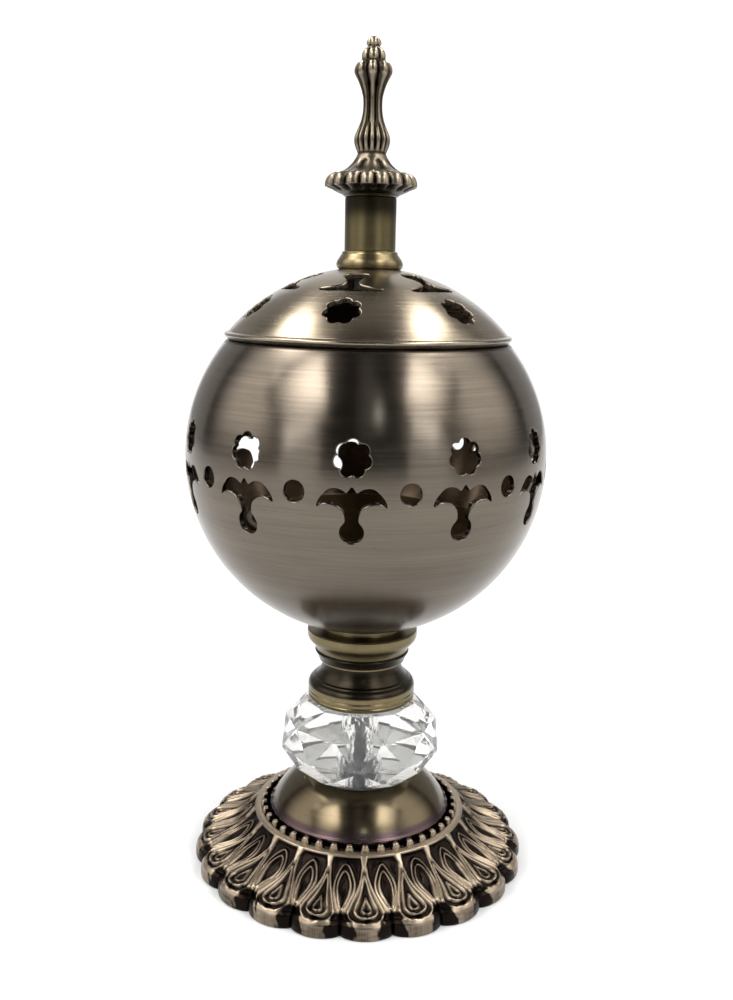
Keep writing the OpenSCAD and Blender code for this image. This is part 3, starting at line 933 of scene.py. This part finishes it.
def crystal_piece(material):
    """The faceted glass bead, with the roughly drilled bore that the rod runs through."""
    low, high = BEAD_LOW.z, BEAD_HIGH.z
    n = CRYSTAL_SIDES
    points = [spin(share * CRYSTAL_R, low + rise * (high - low),
                   CRYSTAL_TURN + TAU * (np.arange(n) + half) / n)
              for share, rise, half in CRYSTAL_RINGS]
    faces = []
    for j in range(len(CRYSTAL_RINGS) - 1):
        for k in range(n):
            a, b = j * n + k, j * n + (k + 1) % n
            c, d = a + n, b + n
            straight = CRYSTAL_RINGS[j][2] == 0
            faces += [(a, b, c), (b, d, c)] if straight else [(a, b, d), (a, d, c)]

    # the bore: uneven rings, joined to the end faces in fans of five points a side
    per_side, rows, bore_r, uneven = 5, 60, ROD_CLEAR_R + 0.8, 0.034
    m, base = per_side * n, len(CRYSTAL_RINGS) * n
    random = np.random.default_rng(3)
    waves = [(random.integers(3, 19), random.uniform(-2, 2), random.uniform(0, TAU))
             for _ in range(14)]
    angle, z = CRYSTAL_TURN + ring_angles(m), np.linspace(low, high, rows)[:, None]
    radius = bore_r + uneven * sum(np.sin(c * angle + w * z + p) for c, w, p in waves)
    points = np.concatenate([*points, spin(radius, z, angle).reshape(-1, 3)])
    faces += [f[::-1] for f in ring_faces(rows, m, False, base)]
    top, last = base - n, base + (rows - 1) * m
    for k in range(n):
        fan = [(k * per_side + i) % m for i in range(per_side + 1)]
        faces.append((k, *[base + i for i in fan], (k + 1) % n))
        faces.append((top + (k + 1) % n, *[last + i for i in fan[::-1]], top + k))
    frosted = np.arange(len(points)) >= base
    piece = make_piece("crystal_cut", points, faces, "burner", ["crystal_bead"],
                       material, relief=frosted)
    in_bore = [p.center.xy.length <= 5.5 * MM for p in piece.data.polygons]
    piece.data.polygons.foreach_set("use_smooth", in_bore)
    add_bevel(piece, 0.2, 12)
    return piece


# ---- threaded rods ----


def threaded_piece(name, node, pitch, body, material, plain=None):
    """A rod with a real helical thread, in place of the plain CAD cylinder. It has a plain
    shank between the two heights in plain."""
    low, high = box_mm(node)
    r = (high.x - low.x) / 2
    columns, per_pitch = 48, 9
    rows = int((high.z - low.z) / pitch * per_pitch)
    z = np.linspace(low.z, high.z, rows)[:, None]
    angle = ring_angles(columns)
    phase = z / pitch - angle / TAU
    wave = np.abs((phase % 1) * 2 - 1)
    ends = np.minimum(z - low.z, high.z - z) / pitch
    depth = 0.58 * pitch * np.clip(1.25 * wave - 0.12, 0, 1)
    if plain is not None:
        fade = 0.3
        depth = depth * (1 - band(plain[0] - fade, plain[1] + fade, fade, z))
    chamfer = 0.5 * np.clip(1 - ends, 0, 1)
    radius = r - np.maximum(depth * np.clip(ends * 2, 0, 1), chamfer)
    points = spin(radius, z, angle + TAU / 4).reshape(-1, 3)
    faces = ring_faces(rows, columns, False)
    faces.append(tuple(range(columns))[::-1])
    faces.append(tuple((rows - 1) * columns + i for i in range(columns)))
    return make_piece(name, points, faces, body, [node], material, sharp=50)


# ---- materials ----


def new_material(name, values):
    """A material, its node tree and its shader, with these values on the shader's sockets."""
    material = bpy.data.materials.new(name)
    material.use_nodes = True
    shader = material.node_tree.nodes["Principled BSDF"]
    for socket, value in values.items():
        shader.inputs[socket].default_value = value
    return material, material.node_tree, shader


class Graph:
    """Short helpers for wiring shader nodes."""

    def __init__(self, tree):
        self.tree = tree
        self.coords = tree.nodes.new("ShaderNodeTexCoord").outputs["Object"]

    def node(self, kind, **values):
        n = self.tree.nodes.new(kind)
        for key, value in values.items():
            setattr(n, key, value)
        return n

    def link(self, a, b):
        self.tree.links.new(a, b)

    def noise(self, scale, detail=2.0, stretch=(1, 1, 1), rough=0.5):
        mapping = self.node("ShaderNodeMapping")
        mapping.inputs["Scale"].default_value = stretch
        self.link(self.coords, mapping.inputs["Vector"])
        n = self.node("ShaderNodeTexNoise")
        n.inputs["Scale"].default_value = scale
        n.inputs["Detail"].default_value = detail
        n.inputs["Roughness"].default_value = rough
        self.link(mapping.outputs["Vector"], n.inputs["Vector"])
        return n.outputs["Fac"]

    def math(self, kind, a, b):
        n = self.node("ShaderNodeMath", operation=kind)
        for socket, value in zip(n.inputs, (a, b)):
            if isinstance(value, (int, float)):
                socket.default_value = value
            else:
                self.link(value, socket)
        return n.outputs["Value"]

    def swing(self, value, amount):
        """A pattern round a half, as one round 0 that is amount wide."""
        return self.math("MULTIPLY", self.math("SUBTRACT", value, 0.5), amount)

    def grey(self, value):
        n = self.node("ShaderNodeCombineColor")
        for socket in n.inputs:
            self.link(value, socket)
        return n.outputs["Color"]

    def remap(self, value, low, high, to_low=0.0, to_high=1.0, smooth=True):
        n = self.node("ShaderNodeMapRange")
        if smooth:
            n.interpolation_type = "SMOOTHSTEP"
        for key, v in (("From Min", low), ("From Max", high), ("To Min", to_low), ("To Max", to_high)):
            n.inputs[key].default_value = v
        self.link(value, n.inputs["Value"])
        return n.outputs["Result"]

    def mix(self, factor, a, b, blend="MIX"):
        n = self.node("ShaderNodeMix", data_type="RGBA", blend_type=blend)
        if isinstance(factor, (int, float)):
            n.inputs[0].default_value = factor
        else:
            self.link(factor, n.inputs[0])
        for socket, value in ((n.inputs[6], a), (n.inputs[7], b)):
            if isinstance(value, tuple):
                socket.default_value = (*value, 1.0)
            else:
                self.link(value, socket)
        return n.outputs[2]

    def bump(self, height, strength, distance_mm, below=None):
        n = self.node("ShaderNodeBump")
        n.inputs["Strength"].default_value = strength
        n.inputs["Distance"].default_value = distance_mm * MM
        self.link(height, n.inputs["Height"])
        if below is not None:
            self.link(below, n.inputs["Normal"])
        return n.outputs["Normal"]


def metal(name, bright, dark, rough, rough_dark, brush=0.5, use_relief=True, anisotropic=0.0,
          edge=(0.25, 0.75), stains=0.25, grain=0.5, drawn=False, lines=5200, lining=None):
    """Aged or plated metal: brushed round the axis, or drawn along it, darker where the relief value
    is low and lightly stained. The relief value holds patina in the hollows of cast pieces, and
    painted shade and painted highlights on others. A shell's lining, where relief is below 0, has a
    colour of its own."""
    material, tree, shader = new_material(name, {"Metallic": 1.0})
    g = Graph(tree)
    streaks = g.noise(1.0, 3.0, (1600, 1600, 40) if drawn else (45, 45, lines), 0.65)
    bands = g.noise(1.0, 2.0, (700, 700, 60) if drawn else (14, 14, lines / 6), 0.6)
    mottle = g.noise(95, 4.0, rough=0.62)
    cloud = g.noise(22, 2.0)
    pits = g.noise(1500, 2.0)
    if use_relief:
        relief = g.node("ShaderNodeAttribute", attribute_name="relief").outputs["Fac"]
        # one mix factor for wear, patina, and the painted shade and highlights carried in relief
        wear_and_painted_light = g.remap(g.math("ADD", relief, g.swing(mottle, 0.45)), *edge)
    else:
        wear_and_painted_light = g.remap(mottle, 0.2, 0.75, 0.55, 1.0)
    colour = g.mix(wear_and_painted_light, dark, bright)
    if lining is not None:
        lined = g.remap(relief, -0.8, -0.3, 1.0, 0.0)
        colour = g.mix(lined, colour, lining)
        wear_and_painted_light = g.math("MAXIMUM", wear_and_painted_light, lined)
    shade = g.math("ADD", g.swing(streaks, brush), g.swing(bands, brush * 0.6))
    shade = g.math("ADD", g.math("ADD", shade, g.swing(cloud, stains)), 1.0)
    colour = g.mix(1.0, colour, g.grey(shade), "MULTIPLY")
    speck = g.remap(pits, 0.68, 0.78, 1.0, 0.45)
    g.link(g.mix(0.6, colour, g.grey(speck), "MULTIPLY"), shader.inputs["Base Color"])
    roughness = g.remap(wear_and_painted_light, 0, 1, rough_dark, rough, smooth=False)
    roughness = g.math("ADD", roughness, g.swing(streaks, 0.10))
    g.link(g.math("ADD", roughness, g.swing(mottle, 0.12)), shader.inputs["Roughness"])
    if anisotropic:
        shader.inputs["Anisotropic"].default_value = anisotropic
        shader.inputs["Anisotropic Rotation"].default_value = 0.25
        tangent = g.node("ShaderNodeTangent", direction_type="RADIAL", axis="Z")
        g.link(tangent.outputs["Tangent"], shader.inputs["Tangent"])
    normal = g.bump(streaks, 0.22 * brush, 0.02)
    normal = g.bump(mottle, 0.25 * grain, 0.05, normal)
    g.link(g.bump(pits, 0.2 * grain, 0.02, normal), shader.inputs["Normal"])
    return material


def crystal_material():
    """Clear cut glass, with the faint veil of handling on its faces and a frosted bore."""
    material, tree, shader = new_material("cut_crystal", {"Transmission Weight": 0.93, "IOR": 1.48})
    g = Graph(tree)
    haze = g.noise(60, 3.0)
    scuff = g.noise(900, 2.0, (1, 1, 0.3))
    drilled = g.noise(1.0, 3.0, (700, 700, 160), 0.6)
    frosted = g.node("ShaderNodeAttribute", attribute_name="relief").outputs["Fac"]
    clear = g.mix(g.remap(haze, 0.3, 0.8), (0.93, 0.925, 0.90), (0.985, 0.98, 0.965))
    streaked = g.mix(g.remap(drilled, 0.40, 0.62), (0.05, 0.055, 0.075), (0.80, 0.81, 0.86))
    g.link(g.mix(frosted, clear, streaked), shader.inputs["Base Color"])
    handled = g.remap(haze, 0.45, 0.85, 0.0, 0.05)
    ground = g.math("MULTIPLY", frosted, g.remap(drilled, 0.3, 0.7, 0.02, 0.26))
    g.link(g.math("ADD", handled, ground), shader.inputs["Roughness"])
    groove = g.math("MULTIPLY", frosted, drilled)
    g.link(g.bump(groove, 0.8, 0.25, g.bump(scuff, 0.03, 0.01)), shader.inputs["Normal"])
    return material


def gasket_material():
    """Thin milky silicone, darker round the rod's hole."""
    material, tree, shader = new_material("milky_gasket", {"Transmission Weight": 0.15, "IOR": 1.41})
    g = Graph(tree)
    cloud = g.noise(160, 3.0)
    flat = g.node("ShaderNodeVectorMath", operation="MULTIPLY")
    flat.inputs[1].default_value = (1, 1, 0)
    g.link(g.coords, flat.inputs[0])
    reach = g.node("ShaderNodeVectorMath", operation="LENGTH")
    g.link(flat.outputs["Vector"], reach.inputs[0])
    pale = g.mix(g.remap(cloud, 0.3, 0.7), (0.90, 0.91, 0.90), (0.95, 0.955, 0.94))
    far_from_hole = g.remap(reach.outputs["Value"], 5.0 * MM, 8.0 * MM)
    g.link(g.mix(far_from_hole, (0.10, 0.095, 0.085), pale), shader.inputs["Base Color"])
    g.link(g.remap(cloud, 0.2, 0.8, 0.25, 0.45), shader.inputs["Roughness"])
    g.link(g.bump(cloud, 0.1, 0.05), shader.inputs["Normal"])
    return material


# ---- the pieces ----

cast_bronze = metal("cast_bronze_relief", (0.315, 0.255, 0.19), (0.010, 0.0072, 0.006), 0.33,
                    0.33, brush=0.10, edge=(0.36, 1.0), stains=0.7, grain=1.0)
finial_brass = metal("cast_brass_relief", (0.245, 0.208, 0.155), (0.034, 0.027, 0.019), 0.28, 0.38,
                     brush=0.08, edge=(0.22, 0.96), stains=0.5, grain=0.8)
turned_brass = metal("turned_antique_brass", (0.20, 0.163, 0.090), (0.085, 0.068, 0.036), 0.27,
                     0.42, brush=0.5, use_relief=False, anisotropic=0.45, stains=0.7, grain=0.45)
tube_brass = metal("tube_antique_brass", (0.105, 0.087, 0.044), (0.014, 0.012, 0.007), 0.36,
                   0.44, brush=0.25, anisotropic=0.3, edge=(0.1, 1.1), stains=1.3, grain=1.2)
dark_turned = metal("turned_dark_brass", (0.175, 0.142, 0.080), (0.030, 0.025, 0.018), 0.27, 0.30,
                    brush=0.5, anisotropic=0.3, edge=(0.2, 0.9), grain=0.3, lines=2600)
dome_bronze = metal("spun_dome_bronze", (0.108, 0.087, 0.055), (0.074, 0.050, 0.052), 0.19, 0.26,
                    brush=0.3, anisotropic=0.2, edge=(0.1, 0.95), stains=0.9, grain=0.3,
                    lines=2600)
bowl_nickel = metal("brushed_dark_nickel", (0.143, 0.122, 0.098), (0.022, 0.015, 0.009), 0.22,
                    0.36, brush=0.6, anisotropic=0.72, edge=(0.05, 0.6), stains=0.25,
                    grain=0.12, lines=2100, lining=(0.20, 0.145, 0.10))
lid_nickel = metal("brushed_warm_nickel", (0.235, 0.20, 0.152), (0.012, 0.009, 0.006), 0.25,
                   0.36, brush=0.5, anisotropic=0.68, edge=(0.05, 0.6), stains=0.35,
                   grain=0.12, lines=2100, lining=(0.19, 0.14, 0.095))
dish_brass = metal("heat_stained_brass", (0.18, 0.125, 0.06), (0.04, 0.024, 0.016), 0.40, 0.55,
                   brush=0.4, use_relief=False, anisotropic=0.3, stains=0.9, grain=0.8)
zinc_plate = metal("zinc_plated_steel", (0.42, 0.43, 0.44), (0.22, 0.22, 0.22), 0.32, 0.45,
                   brush=0.15, use_relief=False, stains=0.3, grain=0.5)
rod_steel = metal("rod_steel", (0.055, 0.058, 0.070), (0.012, 0.012, 0.016), 0.22, 0.42,
                  brush=1.2, use_relief=False, stains=0.8, grain=0.9, drawn=True)
gasket = gasket_material()

bowl_piece(bowl_nickel)
lid_piece(lid_nickel)
foot_piece(cast_bronze)
finial_piece(finial_brass)
crystal_piece(crystal_material())
neck_spool_piece(dark_turned)
neck_ring_piece(dark_turned)
base_dome_piece(dome_bronze)
handle_tube_piece(tube_brass)
threaded_piece("rod_threaded", "centre_rod", 1.0, "burner", rod_steel,
               plain=(BEAD_LOW.z, BEAD_HIGH.z))
threaded_piece("stud_threaded", "lid_stud", 0.7, "lid", zinc_plate)

# the nodes that keep their CAD mesh: a material for each, and the width of its bevels
KEPT = {
    "spool_ring": (turned_brass, 0.12),
    "bowl_collar": (turned_brass, 0.2),
    "lid_collar": (turned_brass, 0.15),
    "lid_locating_ring": (turned_brass, 0.12),
    "dish_stand": (turned_brass, 0.15),
    "charcoal_dish": (dish_brass, 0.2),
    "crystal_gasket_lower": (gasket, 0.15),
    "crystal_gasket_upper": (gasket, 0.15),
    "foot_washer": (zinc_plate, 0.12),
    "foot_nut": (zinc_plate, 0.25),
    "bowl_washer": (zinc_plate, 0.12),
    "bowl_nut": (zinc_plate, 0.25),
    "lid_washer": (zinc_plate, 0.1),
    "lid_nut": (zinc_plate, 0.2),
}
for name, (material, width) in KEPT.items():
    node = nodes[name]
    node.data.materials.clear()
    node.data.materials.append(material)
    bevel = add_bevel(node, width, 35)
    bevel.harden_normals = True


# ---- studio, in metres ----


def add_floor():
    """A pale sweep: flat under the burner, curving up behind it."""
    material, _, _ = new_material("pale_floor", {"Base Color": (0.93, 0.93, 0.93, 1),
                                                 "Roughness": 0.9})
    wide, front, back, tall, curve = 3.0, -2.5, 1.2, 3.0, 0.8
    line = [(front, 0.0)]
    line += [(back + curve * math.sin(t), curve * (1 - math.cos(t)))
             for t in np.linspace(0, TAU / 4, 24)]
    line.append((back + curve, tall))
    points = [(x, y, z) for y, z in line for x in (-wide, wide)]
    faces = [(2 * i, 2 * i + 1, 2 * i + 3, 2 * i + 2) for i in range(len(line) - 1)]
    floor = place("floor_sweep", new_mesh("floor_sweep", points, faces, material))
    floor.data.polygons.foreach_set("use_smooth", [True] * len(faces))


def arch_way(turn, sideways, pitch):
    """Direction from the ball: pitch goes up from behind the camera and over the top, sideways
    leans out of that arch, and turn swings the whole arch round the axis."""
    w, t, a = math.radians(sideways), math.radians(pitch), math.radians(turn)
    x, y, z = math.sin(w), -math.cos(w) * math.cos(t), math.cos(w) * math.sin(t)
    return Vector((x * math.cos(a) - y * math.sin(a), x * math.sin(a) + y * math.cos(a), z))


def add_strip(name, sideways, pitch, distance, size, power):
    """A long strip light that runs along the arch over the burner."""
    data = bpy.data.lights.new(name, "AREA")
    data.shape = "RECTANGLE"
    data.size, data.size_y = size
    data.energy = power
    light = place(name, data)
    away = arch_way(0, sideways, pitch)
    along = Vector((0, math.sin(math.radians(pitch)), math.cos(math.radians(pitch))))
    turn = Matrix((along.cross(away), along, away)).transposed()
    light.matrix_world = turn.to_4x4()
    light.location = away * distance + Vector((0, 0, BALL_Z * MM))


def card_material(name, glow, tint):
    """A plain studio card: dark felt, or a lit panel whose glow fades towards its sides."""
    material, tree, shader = new_material(name, {
        "Base Color": (0.02, 0.02, 0.02, 1), "Roughness": 1.0, "Specular IOR Level": 0.0,
        "Emission Color": (*tint, 1)})
    g = Graph(tree)
    share = g.node("ShaderNodeAttribute", attribute_name="glow").outputs["Fac"]
    g.link(g.math("MULTIPLY", share, glow), shader.inputs["Emission Strength"])
    return material


def faded(share, soft):
    """1 across a card, falling to 0 over a soft share at each side."""
    first, last = soft[0] + 1e-6, soft[1] + 1e-6
    return smoothstep(0, first, share) * (1 - smoothstep(1 - last, 1, share))


def add_card(name, turn, sideways, pitch, distance, glow, soft=(0.0, 0.0), ends=(0.0, 0.0),
             tint=(1.0, 0.97, 0.93)):
    """A studio card that the metal reflects; it throws no shadow and isn't seen itself. Its
    glow fades over the soft shares of its width on each side, and over its ends."""
    across, up = 41, 25
    u, v = np.linspace(0, 1, across), np.linspace(0, 1, up)
    points = [arch_way(turn, np.interp(a, (0, 1), sideways), np.interp(b, (0, 1), pitch))
              * distance + Vector((0, 0, BALL_Z * MM)) for b in v for a in u]
    corners = [across * j + i for j in range(up - 1) for i in range(across - 1)]
    faces = [(c, c + 1, c + across + 1, c + across) for c in corners]
    card = place(name, new_mesh(name, points, faces, card_material(name, glow, tint)))
    add_values(card.data, "glow", np.outer(faded(v, ends), faded(u, soft)).ravel())
    card.visible_camera = False
    card.visible_shadow = False
    card.visible_diffuse = False
    card.visible_transmission = False


def add_world(strength):
    world = bpy.data.worlds.new("studio")
    world.use_nodes = True
    background = world.node_tree.nodes["Background"]
    background.inputs["Color"].default_value = (1, 1, 1, 1)
    background.inputs["Strength"].default_value = strength
    bpy.context.scene.world = world


def add_camera():
    """The camera of the reference view: close, a little above the ball, tilted down."""
    pitch, roll = 11.66, 1.15
    distance, rise = 0.2941, 0.0477
    data = bpy.data.cameras.new("camera")
    data.lens = 38.16
    data.sensor_width = 36
    data.shift_x = 0.0016
    camera = place("camera", data)
    camera.location = (0, -distance, BALL_Z * MM + rise)
    view = Euler((math.radians(90 - pitch), 0, 0)).to_matrix()
    tilt = Euler((0, 0, math.radians(roll))).to_matrix()
    camera.rotation_euler = (view @ tilt).to_euler()
    bpy.context.scene.camera = camera


add_floor()
add_camera()
add_world(1.02)
add_strip("key_left", -43, 52, 1.4, (0.5, 1.2), 7.5)
add_strip("key_right", 37, 52, 1.4, (0.4, 1.2), 7)

# how far the front cards stand from the ball: a nearer one hides those behind it
FELT, SHEEN, PANEL, GLINT = 1.30, 1.28, 1.26, 1.24
# name, turn, sideways, pitch, distance, glow, soft sides, soft ends, tint
CARDS = [
    ("front_felt", 0, (-27, 25), (-8, 84), FELT, 0.0),
    ("over_felt", 0, (-27, 25), (84, 128), FELT, 0.35),
    ("front_sheen", 0, (-8, 8), (10, 80), SHEEN, 0.25, (0.5, 0.5), (0.3, 0.3)),
    ("window_glint", 0, (3.5, 10), (30, 37), GLINT, 10.0, (0.4, 0.4), (0.4, 0.4), (0.9, 1.0, 1.0)),
    ("panel_left", 0, (-56, -21), (31, 76), PANEL, 9.4, (0.82, 0.10), (0.45, 0.15)),
    ("top_left", 0, (-43, -20), (76, 116), PANEL, 17.0, (0.45, 0.40), (0.6, 0.15)),
    ("panel_right", 0, (20, 50), (33, 76), PANEL, 8.8, (0.14, 0.8), (0.45, 0.15)),
    ("top_right", 0, (14, 36), (76, 116), PANEL, 16.0, (0.45, 0.45), (0.6, 0.15)),
    ("side_left", -86, (-34, 34), (-5, 75), 1.5, 2.2, (0.4, 0.4), (0.3, 0.3)),
    ("side_right", 86, (-34, 34), (-5, 75), 1.5, 2.0, (0.4, 0.4), (0.3, 0.3)),
    ("back_left", -139, (-18, 20), (-4, 70), 1.6, 0.45),
    ("back_right", 139, (-20, 18), (-4, 70), 1.6, 0.5),
]
for card in CARDS:
    add_card(*card)
bpy.context.scene.view_settings.view_transform = "Standard"
